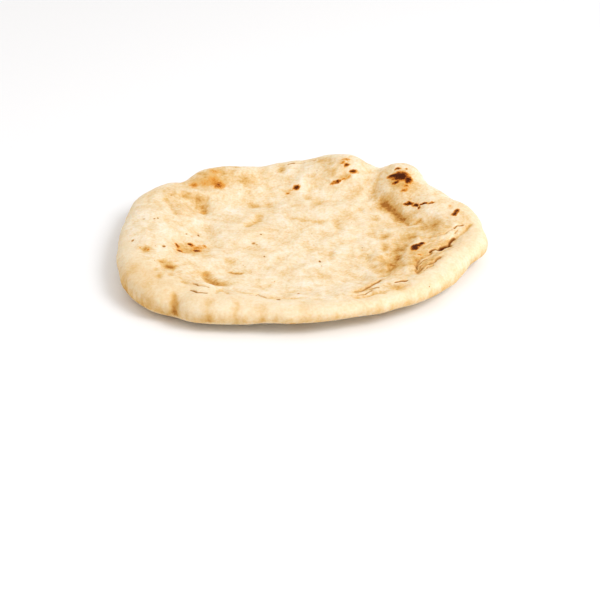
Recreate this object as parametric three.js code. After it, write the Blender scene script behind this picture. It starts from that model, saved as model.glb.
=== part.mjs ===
// A round flat bread with a puffed, uneven rim, in millimetres with Z up.
// It rests on a flat patch in the middle of its underside. The top is a shallow dish that rises
// to a crest, and the rim rolls over that crest, round the edge and under.
// Angles are in degrees, anticlockwise from +X. The front of the bread faces -Y, so +X is its right.

import * as THREE from 'three';

// Driving dimensions
const EDGE_RADIUS = 88;
const DISH_HEIGHT = 8;
const DISH_RADIUS = 44;
const CREST_HEIGHT = 14.5;
const RIM_WIDTH = 9;
const RIM_LIFT = 3;
const LEAST_LIFT = 0.4;
const FLAT_RADIUS = 52;
const CRUST_COLOR = 0xf4e0b8;

// How much of the surface mesh goes to the top, the rim and, as what is left, the underside
const MESH_DETAIL = 22;
const TOP_SHARE = 0.52;
const RIM_SHARE = 0.3;

// The rim's section is a rounded box: 1 would be a circle and smaller is squarer
const RIM_ROUNDNESS = 0.85;

// Broad changes round the edge. Each is a hump at an angle, so many degrees wide, by so many mm.
const EDGE_HUMPS = [
  { at: 12, wide: 8, by: 0.8 },
  { at: 30, wide: 11, by: -2.6 },
  { at: 51, wide: 7, by: 5.4 },
  { at: 66, wide: 5, by: -1.6 },
  { at: 84, wide: 12, by: 2.2 },
  { at: 125, wide: 7, by: 2.2 },
  { at: 154, wide: 14, by: 5.4 },
  { at: 223, wide: 22, by: 10 },
  { at: 243, wide: 8, by: 2.4 },
  { at: 300, wide: 32, by: -3 },
  { at: 334, wide: 12, by: -3 },
  { at: 352, wide: 8, by: 2 },
];
const CREST_HUMPS = [
  { at: 8, wide: 14, by: 0.8 },
  { at: 48, wide: 12, by: 4.4 },
  { at: 73, wide: 11, by: 5 },
  { at: 103, wide: 10, by: -2.2 },
  { at: 126, wide: 11, by: 1 },
  { at: 280, wide: 34, by: -1 },
];
const LIFT_HUMPS = [
  { at: 100, wide: 25, by: 1 },
  { at: 224, wide: 22, by: -1.8 },
  { at: 285, wide: 28, by: 2.8 },
];
const WIDTH_HUMPS = [
  { at: 55, wide: 28, by: 1.5 },
  { at: 185, wide: 34, by: 4 },
  { at: 235, wide: 14, by: 2 },
  { at: 290, wide: 30, by: -1.5 },
];
const DISH_HUMPS = [
  { at: 0, wide: 45, by: -6 },
  { at: 100, wide: 40, by: 4 },
  { at: 270, wide: 40, by: 10 },
];

// Narrow pinches where the dough puckered over the rim, each so many degrees wide and mm deep
const PINCHES = [
  { at: 12, wide: 3, deep: 0.7 },
  { at: 24, wide: 3.4, deep: 1.3 },
  { at: 38, wide: 3.2, deep: 1.8 },
  { at: 62, wide: 3.2, deep: 1.8 },
  { at: 89, wide: 3, deep: 0.8 },
  { at: 108, wide: 3.4, deep: 1 },
  { at: 137, wide: 3.4, deep: 3.2 },
  { at: 163, wide: 3.2, deep: 1 },
  { at: 179, wide: 3, deep: 0.8 },
  { at: 204, wide: 3.2, deep: 0.9 },
  { at: 233, wide: 2.8, deep: 2.6 },
  { at: 243, wide: 3, deep: 0.8 },
  { at: 251, wide: 2.8, deep: 0.7 },
  { at: 259, wide: 3, deep: 0.5 },
  { at: 271, wide: 3, deep: 0.6 },
  { at: 289, wide: 3, deep: 0.7 },
  { at: 300, wide: 3, deep: 0.5 },
  { at: 321, wide: 3.2, deep: 0.7 },
  { at: 343, wide: 3.2, deep: 0.8 },
];

// Swells and dents of the top: centre, half-lengths along and across, the turn of the long way
const SWELLS = [
  { name: 'blister at the back', x: 19.5, y: 67, long: 9, wide: 7, turn: 10, high: 1.7 },
  { name: 'lobe at the back right', x: 52, y: 55, long: 15, wide: 9, turn: -45, high: 1.8 },
  { name: 'lobe at the right', x: 65, y: 29, long: 13, wide: 8, turn: -60, high: 1.4 },
  { name: 'hollow below that lobe', x: 63, y: 4, long: 12, wide: 6, turn: 20, high: -1.4 },
  { name: 'hollow round the lumps', x: 36, y: -28, long: 13, wide: 10, turn: 50, high: -1.1 },
  { name: 'upper lump', x: 35.5, y: -24.5, long: 4.2, wide: 3.6, turn: 0, high: 1.6 },
  { name: 'lower lump', x: 39.5, y: -33, long: 4.8, wide: 3.8, turn: 20, high: 1.6 },
  { name: 'patch behind the left ridge', x: -48, y: 53, long: 12, wide: 5, turn: 10, high: -1 },
  { name: 'bump before the left ridge', x: -41, y: 36.5, long: 6, wide: 4.5, turn: 0, high: 1.1 },
  { name: 'left dimple', x: -60, y: -44, long: 4.8, wide: 3.8, turn: -30, high: -1.7 },
  { name: 'tongue at the front left', x: -43, y: -62, long: 6, wide: 4.4, turn: -20, high: 1.1 },
  { name: 'pit on the left', x: -50, y: -16, long: 7, wide: 5, turn: 0, high: -1 },
  { name: 'swell on the left', x: -72, y: -8, long: 20, wide: 9, turn: 95, high: 1 },
  { name: 'first soft dent at the back', x: -24, y: 37.5, long: 4.8, wide: 4, turn: 0, high: -0.8 },
  { name: 'second soft dent at the back', x: -15, y: 39, long: 4.8, wide: 4, turn: 0, high: -0.8 },
  { name: 'left rise of the middle', x: -28, y: 0, long: 18, wide: 12, turn: 60, high: 0.8 },
  { name: 'hollow of the middle', x: 2, y: -14, long: 22, wide: 15, turn: 20, high: -0.9 },
  { name: 'back rise of the middle', x: 12, y: 32, long: 20, wide: 11, turn: -15, high: 0.8 },
  { name: 'front rise of the middle', x: 8, y: -50, long: 20, wide: 9, turn: 5, high: 0.7 },
];

// Furrows of the top that follow a line. Deep is down into the crust, so a ridge is negative.
const FURROWS = [
  { name: 'browned valley', line: [[34, 45], [43, 35], [48, 20], [52, 12], [60, 11]], wide: 5, deep: 2.3 },
  { name: 'valley beside the blister', line: [[43, 76], [38, 60], [35, 47]], wide: 4, deep: 1.9 },
  { name: 'fold inside the right rim', line: [[58, -28], [66, -25], [73, -14], [78, -5]], wide: 3, deep: 1.6 },
  { name: 'lower fold on the right', line: [[50, -50], [54, -38], [59, -29]], wide: 3, deep: 1 },
  { name: 'long wrinkle at the front', line: [[22, -70], [29, -64], [35, -55]], wide: 2.6, deep: 0.9 },
  { name: 'short wrinkle at the front', line: [[28, -70], [34, -66]], wide: 2.4, deep: 0.7 },
  { name: 'wrinkle at the front right', line: [[40, -60], [48, -58]], wide: 2.6, deep: 0.9 },
  { name: 'step inside the front rim', line: [[-31, -67], [-12, -74], [10, -76], [30, -72]], wide: 3, deep: 0.7 },
  { name: 'bent dent at the front left', line: [[-43.5, -47], [-42, -54], [-35, -64]], wide: 3.8, deep: 2 },
  { name: 'golden dent at the back left', line: [[-61, 37], [-54, 33.5], [-49, 25]], wide: 4.4, deep: 1.7 },
  { name: 'ridge at the back left', line: [[-62, 41], [-39, 44.5]], wide: 3.4, deep: -1.3 },
  { name: 'crease on the left', line: [[-68, 29], [-62, 15]], wide: 3.4, deep: 0.8 },
  { name: 'crease of the middle', line: [[-20, 20], [-27, 11]], wide: 3.8, deep: 0.8 },
];

// A smooth rise from 0 to 1 between two limits
function rise(value, low, high) {
  return THREE.MathUtils.smoothstep(value, low, high);
}

// A bell-shaped hump round the edge, 1 at its own angle
function humpAt(angle, hump) {
  const off = THREE.MathUtils.euclideanModulo(angle - hump.at + 180, 360) - 180;
  return Math.exp(-((off / hump.wide) ** 2));
}

// A size that is usual everywhere but for its humps
function sizeAt(angle, usual, humps) {
  return humps.reduce((size, hump) => size + hump.by * humpAt(angle, hump), usual);
}

function pinchAt(angle) {
  return PINCHES.reduce((depth, pinch) => depth + pinch.deep * humpAt(angle, pinch), 0);
}

function swellHeight(place, swell) {
  const offset = new THREE.Vector2(place.x - swell.x, place.y - swell.y);
  offset.rotateAround(new THREE.Vector2(), -THREE.MathUtils.degToRad(swell.turn));
  return swell.high * Math.exp(-((offset.x / swell.long) ** 2) - (offset.y / swell.wide) ** 2);
}

// How far a place lies from a line of straight runs
function distanceToLine(place, line) {
  const here = new THREE.Vector3(place.x, place.y, 0);
  const nearest = new THREE.Vector3();
  let distance = Infinity;
  for (let i = 1; i < line.length; i += 1) {
    const run = new THREE.Line3(
      new THREE.Vector3(...line[i - 1], 0),
      new THREE.Vector3(...line[i], 0),
    );
    run.closestPointToPoint(here, true, nearest);
    distance = Math.min(distance, here.distanceTo(nearest));
  }
  return distance;
}

// Everything that stands on or sinks into the smooth dish at one place of the top
function relief(place) {
  let height = 0;
  for (const swell of SWELLS) {
    height += swellHeight(place, swell);
  }
  for (const furrow of FURROWS) {
    height -= furrow.deep * Math.exp(-((distanceToLine(place, furrow.line) / furrow.wide) ** 2));
  }
  return height;
}

// The measures of the section that is cut from the middle out to the edge at one angle
function sectionAt(angle) {
  const edge = sizeAt(angle, EDGE_RADIUS, EDGE_HUMPS);
  const width = sizeAt(angle, RIM_WIDTH, WIDTH_HUMPS);
  return {
    width,
    pinch: pinchAt(angle),
    crestRadius: edge - width,
    crest: sizeAt(angle, CREST_HEIGHT, CREST_HUMPS),
    lift: Math.max(LEAST_LIFT, sizeAt(angle, RIM_LIFT, LIFT_HUMPS)),
    dish: sizeAt(angle, DISH_RADIUS, DISH_HUMPS),
  };
}

function polar(radius, angle, height) {
  const turn = THREE.MathUtils.degToRad(angle);
  return new THREE.Vector3(radius * Math.cos(turn), radius * Math.sin(turn), height);
}

// The pinches run out a few millimetres inside the crest
function topPoint(angle, section, share) {
  const radius = section.crestRadius * Math.sqrt(share);
  const climb = rise(radius, section.dish, section.crestRadius);
  const point = polar(radius, angle, THREE.MathUtils.lerp(DISH_HEIGHT, section.crest, climb));
  point.z += relief(point) - 0.5 * section.pinch * climb ** 12;
  return point;
}

// Round the rim, from the crest at share 0 over the edge to the underside at share 1
function rimPoint(angle, section, share) {
  const turn = Math.PI * (0.5 - share);
  const out = Math.cos(turn) ** RIM_ROUNDNESS;
  const up = Math.sign(Math.sin(turn)) * Math.abs(Math.sin(turn)) ** RIM_ROUNDNESS;
  const middle = (section.crest + section.lift) / 2;
  const half = (section.crest - section.lift) / 2;
  const onTop = Math.max(0, up);
  const radius = section.crestRadius + (section.width - section.pinch) * out;
  const point = polar(radius, angle, middle + half * up);
  point.z += (relief(point) - 0.5 * section.pinch) * onTop;
  return point;
}

// In along the underside, from below the rim at share 0 to the middle at share 1
function undersidePoint(angle, section, share) {
  const radius = section.crestRadius * Math.sqrt(1 - share);
  return polar(radius, angle, section.lift * rise(radius, FLAT_RADIUS, section.crestRadius));
}

// A sphere's surface is spread over the bread: its top pole is the middle of the dish and its
// bottom pole the middle of the underside. The share is how much of its area lies above a point.
function breadPoint(onSphere) {
  const angle = THREE.MathUtils.radToDeg(Math.atan2(onSphere.y, onSphere.x));
  const section = sectionAt(angle);
  const share = THREE.MathUtils.clamp((1 - onSphere.z) / 2, 0, 1);
  if (share < TOP_SHARE) {
    return topPoint(angle, section, share / TOP_SHARE);
  }
  if (share < TOP_SHARE + RIM_SHARE) {
    return rimPoint(angle, section, (share - TOP_SHARE) / RIM_SHARE);
  }
  return undersidePoint(angle, section, (share - TOP_SHARE - RIM_SHARE) / (1 - TOP_SHARE - RIM_SHARE));
}

function makeBread() {
  const geometry = new THREE.IcosahedronGeometry(1, MESH_DETAIL);
  geometry.deleteAttribute('uv');
  const positions = geometry.getAttribute('position');
  const point = new THREE.Vector3();
  for (let i = 0; i < positions.count; i += 1) {
    point.copy(breadPoint(point.fromBufferAttribute(positions, i)));
    positions.setXYZ(i, point.x, point.y, point.z);
  }
  geometry.computeBoundingBox();
  const middle = geometry.boundingBox.getCenter(new THREE.Vector3());
  geometry.translate(-middle.x, -middle.y, -geometry.boundingBox.min.z);
  geometry.computeVertexNormals();
  const crust = new THREE.MeshStandardMaterial({ color: CRUST_COLOR, roughness: 0.85, metalness: 0 });
  const bread = new THREE.Mesh(geometry, crust);
  bread.name = 'pita';
  return bread;
}

const pitaBread = new THREE.Group();
pitaBread.add(makeBread());

export default pitaBread;
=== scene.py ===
# %% [markdown]
# # A pita bread
#
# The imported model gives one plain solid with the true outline, rim, dish and folds. This lesson
# dresses it: a much finer skin, the small wrinkles and cracks of baked dough, and a crust that
# runs from cream to golden to charred. The frame comes first, because the skin is grown on it.

# %% Load the frame
import math

import bmesh
import bpy
import numpy as np
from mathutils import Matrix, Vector, noise


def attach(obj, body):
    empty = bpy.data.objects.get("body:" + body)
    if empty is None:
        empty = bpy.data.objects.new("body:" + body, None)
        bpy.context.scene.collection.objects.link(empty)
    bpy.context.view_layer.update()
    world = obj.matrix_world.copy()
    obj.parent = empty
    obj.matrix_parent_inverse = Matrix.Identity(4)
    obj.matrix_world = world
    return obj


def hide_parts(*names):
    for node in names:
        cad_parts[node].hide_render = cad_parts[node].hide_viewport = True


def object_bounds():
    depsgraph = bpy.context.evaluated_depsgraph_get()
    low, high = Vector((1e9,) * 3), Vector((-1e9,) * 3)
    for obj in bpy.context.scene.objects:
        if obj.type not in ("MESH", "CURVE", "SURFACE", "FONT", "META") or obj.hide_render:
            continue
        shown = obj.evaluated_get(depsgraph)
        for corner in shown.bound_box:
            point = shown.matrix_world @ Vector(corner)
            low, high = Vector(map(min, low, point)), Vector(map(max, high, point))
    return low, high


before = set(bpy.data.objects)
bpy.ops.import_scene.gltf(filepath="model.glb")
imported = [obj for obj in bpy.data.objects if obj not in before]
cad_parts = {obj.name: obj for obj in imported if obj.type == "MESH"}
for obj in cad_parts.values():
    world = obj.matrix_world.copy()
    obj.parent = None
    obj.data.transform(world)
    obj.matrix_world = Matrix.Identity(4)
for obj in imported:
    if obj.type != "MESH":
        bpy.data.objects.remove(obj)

MM = 0.001
cad_box = [list(corner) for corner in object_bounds()]
bread_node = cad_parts["pita"]
print("packed bread", [round(high - low, 4) for low, high in zip(*cad_box)])

# %% [markdown]
# ## A fine skin
#
# The solid has facets of two to four millimetres. Subdividing rounds them off, and a voxel
# remesh then gives small even quads, so that later dents and cracks look the same everywhere.
# Sculpting by hand would do too, but it can't be written down as a few lines that run again.

# %% Grow the skin
SAME_PLACE = 1e-6
ROUNDINGS = 2
SKIN_GRAIN = 1.4 * MM
RELAXINGS = 2


def fine_skin(node, name):
    data = node.data.copy()
    mesh = bmesh.new()
    mesh.from_mesh(data)
    bmesh.ops.remove_doubles(mesh, verts=mesh.verts, dist=SAME_PLACE)
    mesh.to_mesh(data)
    mesh.free()
    rough = bpy.data.objects.new(name + "_rough", data)
    bpy.context.scene.collection.objects.link(rough)
    rounded = rough.modifiers.new("rounded", "SUBSURF")
    rounded.levels = ROUNDINGS
    even = rough.modifiers.new("even", "REMESH")
    even.mode = "VOXEL"
    even.voxel_size = SKIN_GRAIN
    relaxed = rough.modifiers.new("relaxed", "SMOOTH")
    relaxed.iterations = RELAXINGS
    evaluated = rough.evaluated_get(bpy.context.evaluated_depsgraph_get())
    skin = bpy.data.objects.new(name, bpy.data.meshes.new_from_object(evaluated))
    bpy.context.scene.collection.objects.link(skin)
    bpy.data.objects.remove(rough)
    return skin


crust = fine_skin(bread_node, "pita_crust")
print("skin faces", len(crust.data.polygons))

# %% [markdown]
# ## Places and distances
#
# Everything that follows is put on the bread by its place in millimetres, seen from above, with
# +X to the right and -Y to the front. These helpers work on all points of the skin at once. The
# points are wobbled a little before they are measured, because dough never tears or folds straight.

# %% Points, directions and noise
NOISE_GAIN = 1.6
SEED_STEPS = (17.3, 5.1, 9.7)


def points_of(mesh):
    flat = np.empty(len(mesh.vertices) * 3, np.float32)
    mesh.vertices.foreach_get("co", flat)
    return flat.reshape(-1, 3).astype(float) / MM


def normals_of(mesh):
    flat = np.empty(len(mesh.vertices) * 3, np.float32)
    mesh.vertices.foreach_get("normal", flat)
    return flat.reshape(-1, 3).astype(float)


def lumpiness(points, size, seed):
    """Smooth noise from about -1 to 1 whose lumps are so many millimetres across."""
    shift = Vector([seed * step for step in SEED_STEPS])
    return NOISE_GAIN * np.array([noise.noise(Vector(p) / size + shift) for p in points])


def wobbled(points, reach, size, seed):
    """The points, moved sideways by smooth noise of up to about reach millimetres."""
    moved = points.copy()
    moved[:, 0] += reach * lumpiness(points, size, seed)
    moved[:, 1] += reach * lumpiness(points, size, seed + 0.5)
    return moved


def step_up(values, low, high):
    """0 below low, 1 above high and a smooth rise between them."""
    share = np.clip((values - low) / (high - low), 0, 1)
    return share * share * (3 - 2 * share)


print("skin points", len(points_of(crust.data)))

# %% [markdown]
# ## Ovals and lines
#
# Every mark on the bread is an oval or a line. An oval has a place, its two half widths and
# sometimes a turn in degrees, and a line has the points that it runs through and a half width. Both
# fade out smoothly, as real dents do, so overlapping marks melt into each other.

# %% Nearness to ovals and lines
def near_oval(points, at, long, wide, turn=0):
    """1 in the middle of an oval, falling off smoothly to 0 outside it."""
    angle = math.radians(turn)
    east = points[:, 0] - at[0]
    north = points[:, 1] - at[1]
    along = east * math.cos(angle) + north * math.sin(angle)
    across = north * math.cos(angle) - east * math.sin(angle)
    return np.exp(-((along / long) ** 2) - (across / wide) ** 2)


def line_distance(points, line):
    """How far each point lies from a line of straight runs, seen from above."""
    nearest = np.full(len(points), np.inf)
    for start, end in zip(line, line[1:]):
        start = np.array(start)
        run = np.array(end) - start
        share = np.clip((points[:, :2] - start) @ run / max(run @ run, 1e-9), 0, 1)
        gap = points[:, :2] - start - share[:, None] * run
        nearest = np.minimum(nearest, np.hypot(gap[:, 0], gap[:, 1]))
    return nearest


def nearness(points, mark):
    """1 on a mark, falling off smoothly to 0 outside it."""
    if "line" in mark:
        return np.exp(-((line_distance(points, mark["line"]) / mark["wide"]) ** 2))
    return near_oval(points, mark["at"], mark["long"], mark["wide"], mark.get("turn", 0))


def piled_up(points, marks, amount):
    """The sum of what the marks give to each point, such as a depth."""
    total = np.zeros(len(points))
    for mark in marks:
        total += mark[amount] * nearness(points, mark)
    return total


def strongest(points, marks, amount):
    """The most that any one of the marks gives to each point, such as a colour."""
    most = np.zeros(len(points))
    for mark in marks:
        most = np.maximum(most, mark[amount] * nearness(points, mark))
    return most


middle = near_oval(points_of(crust.data), (0, 0), 10, 10)
print("points near the middle", int((middle > 0.5).sum()))

# %% [markdown]
# ## Where the dough split
#
# Cracks are thin and deep. Their dark inside is painted shade, with some brown of their own. They
# open where the crust had set before the bread stopped puffing. They could be drawn into an image,
# but here each has a line, a width, a depth and a darkness, so that the relief and the colour read
# the same list. Those without darkness run through scorched spots, which colour them. Pinholes are
# the little pops of steam, with painted shade in them too.

# %% Cracks and pinholes
# The dark of each crack is painted shade inside it, with some brown of its own; for pinholes it also sets
# the depth.
CRACKS = [
    {"line": [(59.3, -26.3), (62.1, -24.3), (64.2, -24.8)], "wide": 0.5, "deep": 0.9, "dark": 0.8},
    {"line": [(64.2, -24.8), (66.1, -22.3), (68.9, -19.8)], "wide": 0.95, "deep": 1.6, "dark": 1.15},
    {"line": [(68.9, -19.8), (69.5, -16.9), (72.4, -12.6)], "wide": 0.7, "deep": 1.1, "dark": 0.8},
    {"line": [(72.8, -4.3), (74.8, -2.7), (77.4, -1.7)], "wide": 0.5, "deep": 0.6, "dark": 0.6},
    {"line": [(72.8, -8.9), (74.5, -6.0)], "wide": 0.5, "deep": 0.5, "dark": 0.35},
    {"line": [(51.2, -47.4), (52.3, -40.6), (53.2, -34.9), (56.6, -31.9), (60.2, -26.7)], "wide": 0.7,
     "deep": 0.7, "dark": 0.42},
    {"line": [(51.8, -44.0), (52.5, -40.3), (55.9, -36.4), (59.0, -35.1)], "wide": 0.6, "deep": 0.6,
     "dark": 0.46},
    {"line": [(52.0, -49.4), (54.1, -44.5), (57.0, -42.3), (60.6, -40.3), (63.4, -36.1)], "wide": 0.85,
     "deep": 0.9, "dark": 0.5},
    {"line": [(51.4, -48.6), (53.0, -44.6), (54.6, -41.0)], "wide": 0.5, "deep": 0.5, "dark": 0.45},
    {"line": [(54.6, -49.2), (56.6, -45.8), (59.4, -43.6)], "wide": 0.5, "deep": 0.5, "dark": 0.4},
    {"line": [(56.8, -10.1), (60.7, -9.8), (64.4, -10.6), (68.3, -8.9), (71.5, -5.5)], "wide": 0.6,
     "deep": 0.6, "dark": 0.3},
    {"line": [(59.1, -17.3), (62.9, -16.7), (66.8, -15.1)], "wide": 0.6, "deep": 0.5, "dark": 0.25},
    {"line": [(52.4, 28.9), (54.7, 27.3), (57.0, 25.0)], "wide": 0.9, "deep": 0.5, "dark": 0.0},
    {"line": [(57.0, 25.0), (58.3, 21.8)], "wide": 0.7, "deep": 0.5, "dark": 0.0},
    {"line": [(58.6, 24.6), (60.0, 24.3), (62.4, 23.2), (65.2, 23.0)], "wide": 0.6, "deep": 0.5,
     "dark": 0.0},
    {"line": [(23.3, -65.7), (26.2, -64.9), (28.7, -61.2), (31.5, -57.4), (34.9, -53.6)], "wide": 0.8,
     "deep": 0.9, "dark": 0.55},
    {"line": [(24.4, -70.2), (27.6, -69.4), (30.0, -66.8)], "wide": 0.6, "deep": 0.6, "dark": 0.45},
    {"line": [(30.0, -64.9), (31.8, -64.5), (33.5, -64.7)], "wide": 0.55, "deep": 0.7, "dark": 0.7},
    {"line": [(41.5, -59.0), (43.8, -58.2), (46.5, -57.7)], "wide": 0.55, "deep": 0.7, "dark": 0.7},
    {"line": [(-48.3, -62.0), (-45.7, -64.8), (-41.5, -66.4)], "wide": 0.5, "deep": 0.7, "dark": 0.52},
    {"line": [(-49.1, -68.5), (-46.0, -71.5), (-41.9, -72.3)], "wide": 0.5, "deep": 0.7, "dark": 0.68},
    {"line": [(-23.6, -71.9), (-20.6, -71.4), (-19.4, -69.0), (-17.1, -71.9), (-15.3, -73.3)],
     "wide": 0.4, "deep": 0.5, "dark": 0.42},
    {"line": [(-35.5, 71.3), (-31.0, 73.6)], "wide": 0.5, "deep": 0.4, "dark": 0.4},
    {"line": [(-7.8, 78.6), (-4.8, 79.3)], "wide": 0.8, "deep": 0.4, "dark": 0.5},
    {"line": [(-4.0, 79.0), (1.2, 79.6)], "wide": 0.6, "deep": 0.4, "dark": 0.3},
    {"line": [(3.6, 80.2), (6.8, 79.8)], "wide": 0.6, "deep": 0.4, "dark": 0.4},
    {"line": [(8.4, 79.0), (10.8, 78.0)], "wide": 0.6, "deep": 0.4, "dark": 0.3},
]
PINHOLES = [
    {"at": (-20.5, 0.3), "long": 0.5, "wide": 0.8, "dark": 0.7},
    {"at": (-23.6, -9.0), "long": 0.8, "wide": 1.0, "dark": 0.5},
    {"at": (-22.4, -10.4), "long": 0.9, "wide": 0.9, "dark": 0.4},
    {"at": (-80.5, -18.9), "long": 0.7, "wide": 1.2, "dark": 0.6},
    {"at": (-65.1, -23.9), "long": 0.8, "wide": 1.1, "dark": 0.65},
    {"at": (-77.6, 4.0), "long": 1.1, "wide": 0.9, "dark": 0.35},
    {"at": (-72.3, 4.0), "long": 0.6, "wide": 0.8, "dark": 0.65},
    {"at": (-70.7, 5.7), "long": 0.6, "wide": 0.9, "dark": 0.65},
    {"at": (-56.5, -3.3), "long": 0.6, "wide": 0.9, "dark": 0.5},
    {"at": (-50.5, -0.8), "long": 0.6, "wide": 1.1, "dark": 0.7},
    {"at": (-66.9, 36.6), "long": 0.8, "wide": 1.1, "dark": 0.4},
    {"at": (-18.1, -23.2), "long": 0.5, "wide": 0.9, "dark": 0.75},
    {"at": (8.0, -28.5), "long": 0.6, "wide": 1.0, "dark": 0.85},
    {"at": (-2.1, -64.5), "long": 0.6, "wide": 1.1, "dark": 0.9},
    {"at": (-10.7, -75.0), "long": 0.9, "wide": 0.9, "dark": 0.75},
    {"at": (-5.2, -72.6), "long": 0.6, "wide": 0.8, "dark": 0.3},
    {"at": (-19.0, -55.5), "long": 1.0, "wide": 0.7, "dark": 0.35},
    {"at": (-12.8, -50.0), "long": 0.6, "wide": 1.0, "dark": 0.35},
]
print(len(CRACKS), "cracks and", len(PINHOLES), "pinholes")

# %% [markdown]
# ## Where it creased and sank
#
# Creases and dents are soft, where the crust sank again as the steam left. Their warmer colour is
# partly their own, where less flour lies in them, and partly painted shade in the hollow. Bumps are
# the opposite: small blisters that stayed up. Brushes could press them in, but a list can be changed
# one mark at a time. A warm value of 1 is a deep golden brown.

# %% Creases
CREASES = [
    {"line": [(51.2, -47.4), (53.2, -34.9), (60.2, -26.7)], "wide": 1.8, "deep": 0.2, "warm": 0.16},
    {"line": [(52.0, -49.4), (57.0, -42.3), (63.4, -36.1)], "wide": 2.0, "deep": 0.2, "warm": 0.2},
    {"line": [(57.4, -47.7), (61.5, -42.4), (65.9, -34.2)], "wide": 1.6, "deep": 0.4, "warm": 0.1},
    {"line": [(58.0, -8.0), (64.4, -9.0), (70.5, -4.0)], "wide": 2.0, "deep": 0.2, "warm": 0.24},
    {"line": [(22.8, -67.0), (28.7, -62.6), (34.9, -54.6)], "wide": 1.8, "deep": 0.2, "warm": 0.4},
    {"line": [(45.0, -25.1), (42.6, -33.3), (40.4, -39.4), (38.0, -48.7)], "wide": 2.4, "deep": 0.6,
     "warm": 0.32},
    {"line": [(24.0, -73.5), (27.8, -72.6), (30.9, -70.2), (35.4, -70.8)], "wide": 1.2, "deep": 0.6,
     "warm": 0.5},
    {"line": [(38.3, -60.2), (40.8, -64.0), (41.7, -66.7)], "wide": 1.2, "deep": 0.4, "warm": 0.5},
    {"line": [(36.6, 46.5), (39.4, 40.1)], "wide": 3.2, "deep": 0.4, "warm": 0.35},
    {"line": [(40.4, 38.8), (44.1, 32.5), (47.0, 24.5), (49.4, 18.4)], "wide": 4.4, "deep": 0.3,
     "warm": 0.62},
    {"line": [(41.0, 36.4), (44.2, 31.2), (46.9, 25.0), (49.7, 18.6)], "wide": 2.3, "deep": 0.5,
     "warm": 1.0},
    {"line": [(49.6, 16.7), (52.3, 12.0), (55.1, 11.0), (58.1, 12.1)], "wide": 1.2, "deep": 0.5,
     "warm": 0.5},
    {"line": [(40.7, 59.8), (38.4, 53.8), (37.2, 50.4), (36.6, 47.4)], "wide": 1.3, "deep": 0.2,
     "warm": 0.3},
    {"line": [(-44.2, -44.7), (-43.6, -48.7), (-39.8, -55.1), (-35.4, -57.1)], "wide": 2.8,
     "deep": 0.6, "warm": 0.68},
    {"line": [(-60.4, 39.0), (-55.6, 37.4), (-52.9, 34.1), (-50.3, 27.6)], "wide": 3.0, "deep": 0.5,
     "warm": 0.2},
    {"line": [(-48.6, 38.2), (-49.6, 33.0), (-50.3, 27.6)], "wide": 1.6, "deep": 0.3, "warm": 0.4},
    {"line": [(-68.9, 31.1), (-66.0, 24.0), (-63.0, 16.5)], "wide": 1.3, "deep": 0.5, "warm": 0.22},
    {"line": [(-60.0, 33.5), (-56.5, 27.5), (-54.0, 21.0)], "wide": 1.4, "deep": 0.3, "warm": 0.12},
    {"line": [(-21.9, 22.9), (-22.3, 19.4), (-24.8, 13.9), (-27.4, 10.7)], "wide": 1.6, "deep": 0.5,
     "warm": 0.4},
    {"line": [(-5.6, 20.6), (-1.6, 18.8), (3.9, 16.4), (8.4, 15.2)], "wide": 2.6, "deep": 0.4,
     "warm": 0.32},
    {"line": [(15.9, 63.3), (16.0, 59.5), (19.8, 58.0), (23.4, 57.7)], "wide": 1.5, "deep": 0.4,
     "warm": 0.5},
    {"line": [(-33.0, -39.5), (-30.8, -41.1), (-28.6, -41.2)], "wide": 0.9, "deep": 0.4, "warm": 0.7},
    {"line": [(-37.9, -71.1), (-35.9, -64.2), (-32.2, -71.0)], "wide": 0.9, "deep": 0.4, "warm": 0.35},
]
print(len(CREASES), "creases")

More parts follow.
